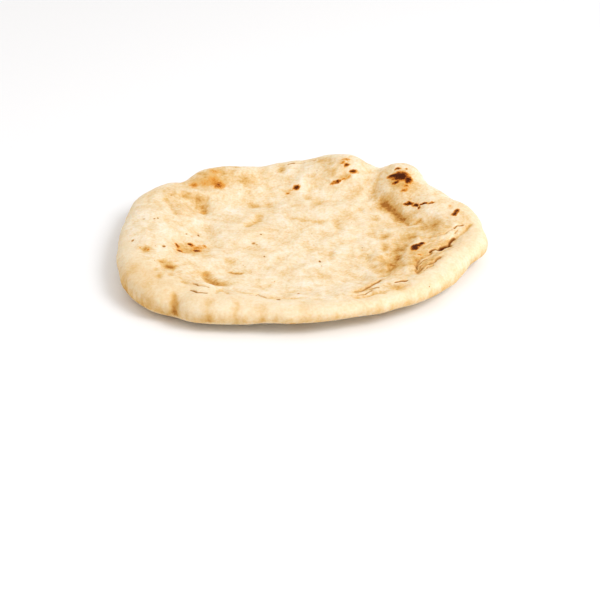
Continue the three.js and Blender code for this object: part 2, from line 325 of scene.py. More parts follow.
# %% Dents and bumps
DENTS = [
    {"at": (-24.9, 38.1), "long": 2.8, "wide": 3.6, "turn": 0, "deep": 0.5, "warm": 0.55},
    {"at": (-17.5, 38.8), "long": 2.6, "wide": 3.8, "turn": 0, "deep": 0.5, "warm": 0.5},
    {"at": (-29.9, 60.3), "long": 3.8, "wide": 5.4, "turn": 30, "deep": 0.4, "warm": 0.55},
    {"at": (-11.3, 73.5), "long": 2.4, "wide": 3.6, "turn": 0, "deep": 0.4, "warm": 0.5},
    {"at": (-7.5, 50.5), "long": 3.2, "wide": 3.8, "turn": 0, "deep": 0.3, "warm": 0.4},
    {"at": (2.0, 44.9), "long": 2.8, "wide": 4.0, "turn": 0, "deep": 0.4, "warm": 0.3},
    {"at": (7.6, 37.6), "long": 3.6, "wide": 4.4, "turn": 0, "deep": 0.4, "warm": 0.3},
    {"at": (10.6, 75.3), "long": 4.0, "wide": 4.0, "turn": 0, "deep": 0.3, "warm": 0.35},
    {"at": (28.1, 48.7), "long": 2.2, "wide": 3.4, "turn": 0, "deep": 0.5, "warm": 0.4},
    {"at": (28.8, 29.9), "long": 2.0, "wide": 3.2, "turn": 0, "deep": 0.5, "warm": 0.25},
    {"at": (36.2, 21.0), "long": 2.2, "wide": 3.4, "turn": 0, "deep": 0.5, "warm": 0.45},
    {"at": (39.9, -1.6), "long": 3.0, "wide": 3.4, "turn": -30, "deep": 0.6, "warm": 0.55},
    {"at": (39.5, -14.2), "long": 2.4, "wide": 4.0, "turn": 0, "deep": 0.6, "warm": 0.6},
    {"at": (46.8, -18.9), "long": 2.6, "wide": 4.4, "turn": 20, "deep": 0.5, "warm": 0.45},
    {"at": (53.5, -4.8), "long": 2.4, "wide": 3.6, "turn": 0, "deep": 0.5, "warm": 0.55},
    {"at": (35.2, -41.6), "long": 3.4, "wide": 3.4, "turn": 0, "deep": 0.4, "warm": 0.42},
    {"at": (31.8, -36.2), "long": 2.4, "wide": 3.0, "turn": 0, "deep": 0.4, "warm": 0.35},
    {"at": (33.5, 1.4), "long": 2.4, "wide": 3.0, "turn": 0, "deep": 0.3, "warm": 0.25},
    {"at": (21.0, 24.0), "long": 2.6, "wide": 4.0, "turn": 0, "deep": 0.3, "warm": 0.25},
    {"at": (11.0, 0.6), "long": 4.6, "wide": 3.4, "turn": 0, "deep": 0.3, "warm": 0.35},
    {"at": (17.0, 12.0), "long": 2.2, "wide": 5.0, "turn": 0, "deep": 0.3, "warm": 0.25},
    {"at": (-33.2, -28.5), "long": 2.8, "wide": 3.0, "turn": 0, "deep": 0.3, "warm": 0.35},
    {"at": (-6.1, -36.7), "long": 2.6, "wide": 4.4, "turn": 0, "deep": 0.3, "warm": 0.25},
    {"at": (8.6, -44.9), "long": 2.8, "wide": 4.4, "turn": 0, "deep": 0.3, "warm": 0.2},
    {"at": (13.2, -19.3), "long": 2.6, "wide": 2.6, "turn": 0, "deep": 0.3, "warm": 0.3},
    {"at": (5.7, -13.8), "long": 3.4, "wide": 3.4, "turn": 0, "deep": 0.3, "warm": 0.25},
    {"at": (62.0, 4.0), "long": 7.0, "wide": 6.0, "turn": 0, "deep": 0.4, "warm": 0.5},
    {"at": (-63.6, -39.9), "long": 2.4, "wide": 2.0, "turn": 0, "deep": 0.4, "warm": 0.75},
    {"at": (-60.9, -42.6), "long": 3.0, "wide": 4.4, "turn": 10, "deep": 0.4, "warm": 0.85},
    {"at": (-64.1, -55.9), "long": 1.3, "wide": 2.2, "turn": 0, "deep": 0.3, "warm": 0.5},
    {"at": (-59.0, -53.5), "long": 1.1, "wide": 2.0, "turn": 0, "deep": 0.3, "warm": 0.45},
    {"at": (-66.2, -48.8), "long": 0.9, "wide": 1.6, "turn": 0, "deep": 0.3, "warm": 0.4},
    {"at": (-44.1, -44.9), "long": 1.8, "wide": 3.4, "turn": 0, "deep": 0.4, "warm": 0.9},
    {"at": (-36.3, -58.0), "long": 4.2, "wide": 3.4, "turn": 0, "deep": 0.4, "warm": 0.68},
    {"at": (-53.4, 36.4), "long": 5.6, "wide": 3.4, "turn": 0, "deep": 0.2, "warm": 0.56},
    {"at": (-58.4, 38.2), "long": 4.2, "wide": 2.2, "turn": 4, "deep": 0.1, "warm": 0.5},
    {"at": (-51.2, 32.4), "long": 3.2, "wide": 3.4, "turn": 0, "deep": 0.2, "warm": 0.56},
    {"at": (-50.0, 28.4), "long": 1.7, "wide": 3.0, "turn": 0, "deep": 0.4, "warm": 0.76},
    {"at": (-49.0, 57.0), "long": 10.0, "wide": 10.0, "turn": 0, "deep": 0.0, "warm": 0.5},
    {"at": (-49.5, 45.5), "long": 9.0, "wide": 3.0, "turn": 8, "deep": 0.7, "warm": 0.1},
    {"at": (41.5, -64.5), "long": 4.4, "wide": 4.0, "turn": 0, "deep": 0.5, "warm": 0.65},
    {"at": (-54.0, -19.0), "long": 8.0, "wide": 7.0, "turn": 20, "deep": 0.2, "warm": 0.45},
    {"at": (-72.9, -29.3), "long": 2.8, "wide": 3.4, "turn": 0, "deep": 0.4, "warm": 0.8},
    {"at": (51.0, 44.0), "long": 9.0, "wide": 7.0, "turn": -40, "deep": 0.0, "warm": 0.55},
]
BUMPS = [
    {"at": (35.5, -26.9), "long": 3.0, "wide": 4.4, "turn": 0, "high": 0.9},
    {"at": (38.5, -34.9), "long": 2.6, "wide": 3.4, "turn": 0, "high": 0.7},
    {"at": (-42.9, 33.0), "long": 3.4, "wide": 4.0, "turn": 0, "high": 0.5},
    {"at": (-58.5, 21.0), "long": 5.0, "wide": 9.0, "turn": 30, "high": 0.6},
    {"at": (-77.0, -14.0), "long": 5.0, "wide": 8.0, "turn": 0, "high": 0.3},
    {"at": (20.5, 65.0), "long": 3.6, "wide": 5.0, "turn": 0, "high": 0.4},
    {"at": (66.5, -36.5), "long": 3.4, "wide": 9.0, "turn": -32, "high": 0.5},
]
print(len(DENTS), "dents and", len(BUMPS), "bumps")

# %% [markdown]
# ## Where it scorched
#
# A blister that touched the hot stone turns brown, and its middle turns to char. Noise alone would
# scatter such spots evenly, but on real bread they sit in a few groups, so each is put down one by one.
# The ovals overlap to make the larger ragged ones. Browning runs from 0 to 1, and a little over 1
# keeps a large spot dark out to its edge.

# %% Scorched spots
SPOTS = [
    {"at": (50.4, 49.6), "long": 4.6, "wide": 3.4, "turn": -30, "brown": 1.4},
    {"at": (46.6, 51.6), "long": 3.0, "wide": 1.6, "turn": -15, "brown": 1.3},
    {"at": (54.1, 45.9), "long": 2.3, "wide": 2.8, "turn": 0, "brown": 1.25},
    {"at": (49.4, 56.8), "long": 1.8, "wide": 1.6, "turn": -10, "brown": 0.9},
    {"at": (54.0, 55.7), "long": 1.1, "wide": 1.6, "turn": 0, "brown": 0.8},
    {"at": (47.9, 45.4), "long": 2.1, "wide": 1.4, "turn": 15, "brown": 1.05},
    {"at": (51.0, 47.5), "long": 7.0, "wide": 6.5, "turn": -40, "brown": 0.36},
    {"at": (53.0, 41.8), "long": 1.5, "wide": 1.3, "turn": 0, "brown": 0.8},
    {"at": (51.8, 38.6), "long": 2.2, "wide": 1.3, "turn": 0, "brown": 0.72},
    {"at": (52.6, 40.2), "long": 3.4, "wide": 3.2, "turn": 0, "brown": 0.4},
    {"at": (53.2, 28.4), "long": 2.2, "wide": 1.6, "turn": -25, "brown": 1.35},
    {"at": (56.2, 25.8), "long": 1.9, "wide": 1.2, "turn": -40, "brown": 1.2},
    {"at": (58.0, 22.4), "long": 0.9, "wide": 1.6, "turn": 0, "brown": 1.1},
    {"at": (60.4, 24.2), "long": 2.4, "wide": 0.8, "turn": -8, "brown": 1.1},
    {"at": (64.2, 23.1), "long": 1.8, "wide": 1.1, "turn": 0, "brown": 1.15},
    {"at": (57.0, 26.0), "long": 5.0, "wide": 2.6, "turn": -35, "brown": 0.3},
    {"at": (74.4, 9.8), "long": 1.3, "wide": 2.2, "turn": -10, "brown": 1.15},
    {"at": (76.0, 12.6), "long": 1.3, "wide": 2.4, "turn": -10, "brown": 1.1},
    {"at": (73.1, 18.0), "long": 2.2, "wide": 4.0, "turn": 0, "brown": 0.36},
    {"at": (52.9, -20.5), "long": 2.0, "wide": 3.2, "turn": -8, "brown": 1.3},
    {"at": (54.5, -18.5), "long": 2.0, "wide": 1.8, "turn": 30, "brown": 1.3},
    {"at": (56.2, -16.6), "long": 2.2, "wide": 1.4, "turn": 30, "brown": 1.25},
    {"at": (54.8, -28.1), "long": 1.9, "wide": 1.0, "turn": 12, "brown": 0.65},
    {"at": (23.1, 64.7), "long": 1.7, "wide": 1.6, "turn": 0, "brown": 1.05},
    {"at": (21.0, 66.8), "long": 1.7, "wide": 1.8, "turn": 0, "brown": 0.6},
    {"at": (22.7, 69.7), "long": 3.2, "wide": 1.6, "turn": 0, "brown": 0.6},
    {"at": (26.6, 60.4), "long": 2.3, "wide": 1.5, "turn": 5, "brown": 1.15},
    {"at": (24.1, 57.9), "long": 1.4, "wide": 1.0, "turn": 20, "brown": 0.6},
    {"at": (18.2, 56.0), "long": 1.8, "wide": 1.2, "turn": 15, "brown": 1.1},
    {"at": (15.6, 55.6), "long": 2.0, "wide": 1.2, "turn": 10, "brown": 0.72},
    {"at": (21.2, 56.8), "long": 2.4, "wide": 0.7, "turn": 12, "brown": 0.6},
    {"at": (-3.2, 55.1), "long": 1.9, "wide": 2.2, "turn": -20, "brown": 1.2},
    {"at": (-6.4, 53.6), "long": 2.0, "wide": 2.6, "turn": 0, "brown": 0.38},
    {"at": (-7.9, 50.8), "long": 0.8, "wide": 1.2, "turn": 0, "brown": 0.75},
    {"at": (-75.6, -28.6), "long": 1.0, "wide": 1.4, "turn": 0, "brown": 0.45},
    {"at": (-72.0, -29.8), "long": 1.1, "wide": 1.5, "turn": 0, "brown": 0.62},
    {"at": (-59.2, -18.7), "long": 1.3, "wide": 2.8, "turn": 18, "brown": 0.9},
    {"at": (-58.0, -23.4), "long": 1.7, "wide": 1.4, "turn": -20, "brown": 0.85},
    {"at": (-55.4, -25.4), "long": 2.8, "wide": 1.2, "turn": 0, "brown": 0.55},
    {"at": (-53.6, -13.6), "long": 1.7, "wide": 1.7, "turn": 0, "brown": 1.0},
    {"at": (-50.6, -18.4), "long": 2.3, "wide": 1.7, "turn": -25, "brown": 1.0},
    {"at": (-50.2, -15.4), "long": 4.0, "wide": 4.2, "turn": 0, "brown": 0.5},
    {"at": (-47.0, -13.0), "long": 1.0, "wide": 2.8, "turn": 15, "brown": 0.6},
    {"at": (-57.0, -20.6), "long": 4.0, "wide": 3.4, "turn": 0, "brown": 0.34},
    {"at": (-44.3, -44.6), "long": 0.9, "wide": 1.8, "turn": 0, "brown": 0.42},
    {"at": (-56.4, 50.2), "long": 3.6, "wide": 5.0, "turn": 0, "brown": 0.54},
    {"at": (-51.0, 52.0), "long": 5.0, "wide": 5.6, "turn": 0, "brown": 0.42},
    {"at": (-43.8, 51.2), "long": 4.4, "wide": 5.4, "turn": 0, "brown": 0.68},
    {"at": (-46.4, 54.6), "long": 4.8, "wide": 6.0, "turn": 10, "brown": 0.5},
    {"at": (-46.4, 63.0), "long": 5.0, "wide": 4.6, "turn": 0, "brown": 0.44},
    {"at": (-49.9, 27.8), "long": 1.1, "wide": 2.2, "turn": 0, "brown": 0.42},
]
print(len(SPOTS), "scorched spots")

# %% [markdown]
# ## Finer where it matters
#
# The top and the rim carry nearly all the detail, so their faces are cut in four, and those at the
# cracks once more. Refining the whole bread would make the mesh half as large again for an
# underside that is almost flat.

# %% Refine the top and the cracks
# How far the skin faces up runs from -1 underneath, past 0 on the side, to 1 on the top.
REFINED_ABOVE = -0.25
TOP_ABOVE = 0.1
CRACK_REACH = 1.2


def on_top(normals):
    return normals[:, 2] > TOP_ABOVE


def refine(mesh_data, wanted):
    """Cuts every face in four where all of its corners are wanted."""
    mesh = bmesh.new()
    mesh.from_mesh(mesh_data)
    faces = [face for face in mesh.faces if all(wanted[v.index] for v in face.verts)]
    edges = {edge for face in faces for edge in face.edges}
    bmesh.ops.subdivide_edges(mesh, edges=list(edges), cuts=1, use_grid_fill=True)
    mesh.to_mesh(mesh_data)
    mesh.free()


def near_cracks(points):
    close = np.zeros(len(points), bool)
    for crack in CRACKS:
        close |= line_distance(points, crack["line"]) < CRACK_REACH + crack["wide"]
    for hole in PINHOLES:
        close |= line_distance(points, [hole["at"], hole["at"]]) < CRACK_REACH + hole["wide"]
    return close


def relax(thing, name, times):
    smoothing = thing.modifiers.new(name, "SMOOTH")
    smoothing.iterations = times
    evaluated = thing.evaluated_get(bpy.context.evaluated_depsgraph_get())
    thing.data = bpy.data.meshes.new_from_object(evaluated)
    thing.modifiers.clear()


refine(crust.data, normals_of(crust.data)[:, 2] > REFINED_ABOVE)
refine(crust.data, near_cracks(points_of(crust.data)) & on_top(normals_of(crust.data)))
relax(crust, "smoothing", RELAXINGS)
points = points_of(crust.data)
normals = normals_of(crust.data)
print("refined faces", len(crust.data.polygons))

# %% [markdown]
# ## The rim
#
# Round the front and right, a crease parts the lumpy dish from the rim, whose skin was pulled
# tight and smooth as the edge puffed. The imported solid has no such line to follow, so its place is
# given as a distance from the middle for a few compass angles.

# %% Where the rim begins
RIM_EDGE = [(0, 82), (30, 85), (90, 86), (180, 85), (215, 81), (234, 80), (244, 73), (258, 75), (269, 73),
            (282, 78), (293, 77), (303, 79), (320, 74), (333, 71), (350, 74), (360, 82)]
CREASED_FROM = 228
CREASE_GAPS = 9
RIM_TIGHTENS = (-1.5, 2.5)
TIGHT_FACES = (0.2, 0.6)


def round_places(points):
    """The compass angle of each point in degrees, from 0 to 360, and how far out it lies."""
    angle = np.degrees(np.arctan2(points[:, 1], points[:, 0])) % 360
    return angle, np.hypot(points[:, 0], points[:, 1])


def past_rim_edge(points):
    """How many millimetres each point lies outside the crease where the rim begins."""
    angle, out = round_places(points)
    return out - np.interp(angle, *zip(*RIM_EDGE))


def tightness(points, normals):
    """1 on the smooth skin of the rim, its side and the underside, 0 in the dish."""
    outside = step_up(past_rim_edge(points), *RIM_TIGHTENS)
    return np.maximum(outside, 1 - step_up(normals[:, 2], *TIGHT_FACES))


def near_rim_edge(points, wide):
    """1 along the crease, which comes and goes as it runs round the rim."""
    angle, _ = round_places(points)
    patchy = step_up(lumpiness(points, CREASE_GAPS, 12), -0.5, 0.6)
    return (angle > CREASED_FROM) * patchy * np.exp(-((past_rim_edge(points) / wide) ** 2))


print("share of the skin that is tight", round(float(tightness(points, normals).mean()), 2))

# %% [markdown]
# ## Folds over the rim
#
# Short grooves run down over the rim where the dough was folded under. Each is a line, seen from
# above, from the crown of the rim out past its foot, so that it goes straight down the side. Their
# warm colour is painted shade down the groove.

# %% Grooves
GROOVE_WOBBLE = {"reach": 0.8, "size": 5, "seed": 13}
GROOVED_ABOVE = -0.5
# The warm of each groove is painted shade down its length; those of depth 0 are painted shade alone.
GROOVES = [
    {"line": [(-56.5, -72.0), (-56.2, -75.0), (-56.0, -80.0)], "wide": 1.7, "deep": 0.6, "warm": 0.62},
    {"line": [(-76.0, -47.0), (-80.0, -56.0)], "wide": 2.8, "deep": 0.1, "warm": 0.24},
    {"line": [(-69.0, -63.0), (-69.0, -72.0)], "wide": 3.2, "deep": 0.0, "warm": 0.2},
    {"line": [(-40.6, -79.5), (-40.4, -86.0)], "wide": 2.2, "deep": 0.1, "warm": 0.28},
    {"line": [(-28.9, -82.0), (-28.8, -88.0)], "wide": 1.5, "deep": 0.1, "warm": 0.28},
    {"line": [(-17.2, -84.5), (-17.2, -89.0)], "wide": 2.4, "deep": 0.0, "warm": 0.18},
    {"line": [(0.7, -80.0), (0.8, -88.0)], "wide": 2.4, "deep": 0.1, "warm": 0.14},
    {"line": [(25.6, -80.0), (27.2, -86.0)], "wide": 2.0, "deep": 0.1, "warm": 0.1},
    {"line": [(45.6, -72.0), (48.5, -77.0)], "wide": 2.0, "deep": 0.15, "warm": 0.1},
]


def at_grooves(gather, points, normals, amount):
    """What the grooves give to each point, gathered by piled_up or by strongest."""
    loose = wobbled(points, **GROOVE_WOBBLE)
    return gather(loose, GROOVES, amount) * (normals[:, 2] > GROOVED_ABOVE)


print("grooves", len(GROOVES))

# %% [markdown]
# ## Relief of the dough
#
# Baked dough is never smooth. Broad swells come from the rolling pin, pillows and dimples from
# fingers and from steam, and puckers from the drying crust. Displacement modifiers could lay such
# noise on, but here it is worked out in code, so that the colour can use the very same lumps: their
# tops get painted light and the hollows between them painted shade.

# %% Swells, pillows and puckers
SWELL = {"size": 17, "high": 0.5}
PILLOW = {"size": 7.0, "high": 0.3}
PUCKER = {"size": 2.4, "high": 0.1}
PULLED = np.array([1, 0.65, 1])     # the dough was rolled out from front to back
TIGHT_SKIN_CALM = 0.75
LUMPY_ZONES = [
    {"at": (45, -18), "long": 24, "wide": 38, "turn": 0, "more": 1.2},
    {"at": (0, 62), "long": 60, "wide": 16, "turn": 0, "more": 0.6},
    {"at": (-60, -10), "long": 20, "wide": 50, "turn": 0, "more": 0.2},
]


def small_lumps(points):
    return lumpiness(points * PULLED, PILLOW["size"], 2), lumpiness(points * PULLED, PUCKER["size"], 3)


def lumpy_here(points, normals):
    """How strong the small lumps are: most in the lumpy zones, least on tight skin."""
    lumpy = 1 + piled_up(points, LUMPY_ZONES, "more")
    return lumpy * (1 - TIGHT_SKIN_CALM * tightness(points, normals))


def lump_relief(points, normals):
    pillows, puckers = small_lumps(points)
    height = SWELL["high"] * lumpiness(points, SWELL["size"], 1)
    return height + lumpy_here(points, normals) * (PILLOW["high"] * pillows + PUCKER["high"] * puckers)


lumps = lump_relief(points, normals)
print("lumps from", round(lumps.min(), 2), "to", round(lumps.max(), 2), "mm")

# %% [markdown]
# ## Puckered sides and the wrinkled wall
#
# The skin of the side is gathered into upright puckers and folds, as on a cushion. On the right,
# the wall of the dish is wrinkled along its length. Both are the same noise as before, stretched
# round the rim or round the dish.

# %% Stretched wrinkles
RIM_RADIUS = 88
RIM_LEAN = 0.4
DISH_RADIUS = 60
PUCKERED_FACES = (0.35, 0.8)
RIM_PUCKER = {"around": 2.4, "tall": 12, "high": 0.1, "seed": 4}
RIM_FOLD = {"around": 9, "tall": 30, "high": 0.3, "seed": 5}
WALL_WRINKLE = {"around": 13, "across": 1.7, "high": 0.3}
WALL_ZONE = {"at": (64, -22), "long": 30, "wide": 9, "turn": 62}


def along_rim(points, around, tall):
    """Stretched places, so that noise in them makes folds that stand upright on the rim."""
    angle, out = round_places(points)
    angle = np.radians(angle)
    return np.column_stack([RIM_RADIUS * np.cos(angle) / around, RIM_RADIUS * np.sin(angle) / around,
                            (points[:, 2] + RIM_LEAN * out) / tall])


def along_wall(points, around, across):
    """Stretched places, so that noise in them makes lines that run round the dish."""
    angle, out = round_places(points)
    angle = np.radians((angle + 180) % 360)
    return np.column_stack([angle * DISH_RADIUS / around, out / across, 0 * out])


def wrinkle_relief(points, normals):
    height = np.zeros(len(points))
    side = 1 - step_up(np.abs(normals[:, 2]), *PUCKERED_FACES)
    for fold in (RIM_PUCKER, RIM_FOLD):
        upright = along_rim(points, fold["around"], fold["tall"])
        height += side * fold["high"] * lumpiness(upright, 1, fold["seed"])
    wall = nearness(points, WALL_ZONE) * on_top(normals)
    lines = lumpiness(along_wall(points, WALL_WRINKLE["around"], WALL_WRINKLE["across"]), 1, 6)
    return height + WALL_WRINKLE["high"] * wall * lines


wrinkles = wrinkle_relief(points, normals)
print("wrinkles from", round(wrinkles.min(), 2), "to", round(wrinkles.max(), 2), "mm")

# %% [markdown]
# ## Pressing the marks in
#
# The cracks, creases, dents, pinholes and bumps of the lists are added up, on the top alone. The
# grooves run on down the side, and so they come last.

# %% Relief of the marks
CRACK_WOBBLE = {"reach": 0.4, "size": 2.6, "seed": 7}
RIM_CREASE = {"deep": 0.6, "wide": 1.2}
PINHOLE_DEPTH = 0.5


def mark_relief(points, normals):
    loose = wobbled(points, **CRACK_WOBBLE)
    height = -RIM_CREASE["deep"] * near_rim_edge(points, RIM_CREASE["wide"])
    height -= piled_up(loose, CRACKS + CREASES + DENTS, "deep")
    height -= PINHOLE_DEPTH * piled_up(loose, PINHOLES, "dark")
    height += piled_up(loose, BUMPS, "high")
    return height * on_top(normals) - at_grooves(piled_up, points, normals, "deep")


marks = mark_relief(points, normals)
print("marks from", round(marks.min(), 2), "to", round(marks.max(), 2), "mm")

# %% [markdown]
# ## Laying the relief on
#
# The points move along their normals. Those on the flat patch underneath keep their place, so that
# the bread still rests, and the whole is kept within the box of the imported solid.

# %% Lay the relief on the skin
REST_ZONE = 1.2


def fit_in_box(places, box):
    """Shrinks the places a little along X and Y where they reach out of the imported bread's box."""
    for axis in (0, 1):
        low_share = box[0][axis] / MM / places[:, axis].min()
        high_share = box[1][axis] / MM / places[:, axis].max()
        places[:, axis] *= min(1, low_share, high_share)
    places[:, 2] = np.clip(places[:, 2], 0, box[1][2] / MM)
    return places


lifted = np.clip(points[:, 2] / REST_ZONE, 0, 1)
relief = (lumps + wrinkles + marks) * lifted
dressed = fit_in_box(points + normals * relief[:, None], cad_box)
crust.data.vertices.foreach_set("co", (dressed * MM).astype(np.float32).ravel())
crust.data.update()
print("dressed bread", [round(v, 2) for v in dressed.max(0) - dressed.min(0)], "mm")

# %% [markdown]
# ## What the oven did to each place
#
# Four numbers for each point of the skin steer the colour: warmth, browning, the painted shade and
# brown inside cracks, and mottling. They could be painted into an image, but numbers on the points
# need no unwrapping, and they are worked out from the same lists as the relief. Warmth comes first.
# It runs from floury white over cream and tan to golden brown, and changes softly. It holds the
# dough's own tone and painted shade as well: dimples, creases, the right wall of the dish and the
# foot of the rim are warm partly as painted shade, and the tops of lumps are pale as painted light.

# %% How warm each place is
PLAIN_WARMTH = 0.26
LUMP_LIGHT_AND_SHADE = 0.09
PUCKER_SHARE = 0.6
MARK_WARMTH_AND_SHADE = 0.8
MARK_WOBBLE = {"reach": 0.5, "size": 3.0, "seed": 7}
RIM_CREASE_STAIN_AND_SHADE = {"warm": 0.4, "wide": 1.0}
SIDE_FACES = (-0.2, 0.85)
SIDE_WARMTH_AND_SHADE = 0.09
FOOT_WARMTH_AND_SHADE = 0.28
FOOT_HEIGHTS = (2, 13)
STREAK = {"around": 2.6, "tall": 9, "warm": 0.11}
UNDER_FACES = (-0.75, -0.35)
UNDER_WARMTH = 0.08
UNDER_BLOTCH = {"size": 11, "warm": 0.2}
# Broad zones of warmth: those on the right wall of the dish stand for its tan and for painted shade where it
# turns from the lamp; the negative one on the left swell is painted light.
WARM_AND_SHADE_ZONES = [
    {"at": (60.0, -30.0), "long": 17.0, "wide": 6.5, "turn": 58, "warm": 0.24},
    {"at": (50.0, -8.0), "long": 13.0, "wide": 15.0, "turn": 0, "warm": 0.18},
    {"at": (40.0, -32.0), "long": 11.0, "wide": 17.0, "turn": 0, "warm": 0.22},
    {"at": (65.5, 1.0), "long": 5.0, "wide": 11.0, "turn": -10, "warm": 0.12},
    {"at": (48.5, -34.0), "long": 6.0, "wide": 13.0, "turn": 0, "warm": 0.18},
    {"at": (-38.0, 68.0), "long": 22.0, "wide": 10.0, "turn": 15, "warm": 0.08},
    {"at": (-64.0, 30.0), "long": 12.0, "wide": 18.0, "turn": 0, "warm": 0.14},
    {"at": (-70.0, -56.0), "long": 18.0, "wide": 9.0, "turn": -50, "warm": 0.14},
    {"at": (-78.0, -6.0), "long": 10.0, "wide": 22.0, "turn": 0, "warm": -0.07},
    {"at": (62.0, 48.0), "long": 7.0, "wide": 9.0, "turn": 0, "warm": -0.08},
]


def under(normals):
    """1 on the underside, 0 on the sides and the top."""
    return 1 - step_up(normals[:, 2], *UNDER_FACES)


def mark_warmth_and_shade(points, normals):
    edge = RIM_CREASE_STAIN_AND_SHADE["warm"] * near_rim_edge(points, RIM_CREASE_STAIN_AND_SHADE["wide"])
    loose = wobbled(points, **MARK_WOBBLE)
    # Creases, dents and the rim crease are warmed partly by their own colour and partly as painted shade in
    # the hollow.
    stains = np.maximum(edge, strongest(loose, CREASES + DENTS, "warm")) * on_top(normals)
    return MARK_WARMTH_AND_SHADE * (stains + at_grooves(strongest, points, normals, "warm"))


# The sides and the foot of the rim are made darker and warmer, partly the bake and partly painted shade
# where the side turns from the light.
def side_warmth_and_shade(points, normals):
    side = (1 - step_up(normals[:, 2], *SIDE_FACES)) * (1 - under(normals))
    foot = side * (1 - step_up(points[:, 2], *FOOT_HEIGHTS))
    streaks = lumpiness(along_rim(points, STREAK["around"], STREAK["tall"]), 1, 8)
    return foot * FOOT_WARMTH_AND_SHADE + side * (SIDE_WARMTH_AND_SHADE + STREAK["warm"] * streaks)


# Warmth holds the dough's own tone and painted shade: warm hollows, creases, wall and rim foot, and pale
# lump tops as painted light.
def warmth_and_shade_of(points, normals):
    pillows, puckers = small_lumps(points)
    # Lump tops are made paler as painted light, and the hollows between them warmer as painted shade.
    warm = PLAIN_WARMTH - LUMP_LIGHT_AND_SHADE * lumpy_here(points, normals) * (pillows + PUCKER_SHARE * puckers)
    warm += piled_up(points, WARM_AND_SHADE_ZONES, "warm")
    warm += mark_warmth_and_shade(points, normals) + side_warmth_and_shade(points, normals)
    blotches = step_up(lumpiness(points, UNDER_BLOTCH["size"], 9), -0.4, 0.9)
    return np.clip(warm + under(normals) * (UNDER_WARMTH + UNDER_BLOTCH["warm"] * blotches), 0, 1)


warmth_and_shade = warmth_and_shade_of(points, normals)
print("warmth average", round(float(warmth_and_shade.mean()), 3))

# %% [markdown]
# ## Browned and dark places
#
# Browning is the scorching of blisters, and a little of it edges the cracks. The underside, which
# lay on the stone, is toasted in small spots where two sizes of noise meet. Darkness is the painted
# shade inside cracks and pinholes, with some brown of their own, and it has no golden ring.

# %% How browned and how dark each place is
SCORCH_WOBBLE = {"reach": 0.5, "size": 1.8, "seed": 7}
CRACK_EDGE = {"wider": 1.8, "brown": 0.42}
UNDER_SPOT = {"size": 5, "brown": 0.95}


def browning_of(points, normals):
    loose = wobbled(points, **SCORCH_WOBBLE)
    crack_edges = [dict(crack, wide=CRACK_EDGE["wider"] * crack["wide"]) for crack in CRACKS]
    edges = CRACK_EDGE["brown"] * strongest(loose, crack_edges, "dark")
    brown = np.maximum(edges, strongest(loose, SPOTS, "brown")) * on_top(normals)
    blotches = step_up(lumpiness(points, UNDER_BLOTCH["size"], 9), -0.1, 0.8)
    spots = step_up(lumpiness(points, UNDER_SPOT["size"], 10), 0.0, 1.0)
    return np.maximum(brown, under(normals) * UNDER_SPOT["brown"] * blotches * spots)


def crack_brown_and_shade_of(points, normals):
    loose = wobbled(points, **CRACK_WOBBLE)
    return strongest(loose, CRACKS + PINHOLES, "dark") * on_top(normals)


browning = browning_of(points, normals)
crack_brown_and_shade = crack_brown_and_shade_of(points, normals)
print("scorched points", int((browning > 0.5).sum()), "and dark points", int((crack_brown_and_shade > 0.5).sum()))

# %% [markdown]
# ## Putting the numbers on the skin
#
# Mottling says how blotchy the flour lies, which is less on the rim, where the skin is tight. All
# four become attributes of the mesh, which the material reads by their names.

# %% Paint warmth, browning, darkness and mottling on the skin
RIM_MOTTLING = 0.55


def paint(mesh, name, values):
    layer = mesh.attributes.new(name, "FLOAT", "POINT")
    layer.data.foreach_set("value", values.astype(np.float32))
    print(name, "average", round(float(values.mean()), 3))


tight_sides = tightness(points, normals) * (1 - under(normals))
paint(crust.data, "warmth_and_shade", warmth_and_shade)
paint(crust.data, "browning", browning)
paint(crust.data, "crack_brown_and_shade", crack_brown_and_shade)
paint(crust.data, "mottling", 1 - (1 - RIM_MOTTLING) * tight_sides)

# %% [markdown]
# ## The crust
#
# Flour and water bake to a warm cream. The colour wanders from nearly white to tan over a few
# millimetres, and browning carries it on to gold, brown and char. The nodes are made in code by a
# few small builders, which give every node a label, so that the tree can also be read in the
# shader editor.

# %% Builders for values
def painted(tree, name):
    node = tree.nodes.new("ShaderNodeAttribute")
    node.attribute_name = name
    return node.outputs["Fac"]


def noise_node(tree, place, label, millimetres, detail, roughness):
    node = tree.nodes.new("ShaderNodeTexNoise")
    node.label = label
    node.inputs["Scale"].default_value = 1 / (millimetres * MM)
    node.inputs["Detail"].default_value = detail
    node.inputs["Roughness"].default_value = roughness
    tree.links.new(place, node.inputs["Vector"])
    return node.outputs["Fac"]


def stretched(tree, value, label, low, high, to_low=0.0, to_high=1.0):
    node = tree.nodes.new("ShaderNodeMapRange")
    node.label = label
    node.interpolation_type = "SMOOTHSTEP"
    tree.links.new(value, node.inputs["Value"])
    for name, number in (("From Min", low), ("From Max", high), ("To Min", to_low), ("To Max", to_high)):
        node.inputs[name].default_value = number
    return node.outputs["Result"]


def maths(tree, kind, label, first, second):
    node = tree.nodes.new("ShaderNodeMath")
    node.operation = kind
    node.label = label
    tree.links.new(first, node.inputs[0])
    tree.links.new(second, node.inputs[1])
    return node.outputs[0]


print("value builders ready")

# %% Builders for colours
def linear(red, green, blue):
    """A colour given as on a screen, from 0 to 255, in the linear values that shaders use."""
    def one(value):
        value /= 255
        return value / 12.92 if value <= 0.04045 else ((value + 0.055) / 1.055) ** 2.4
    return (one(red), one(green), one(blue), 1.0)


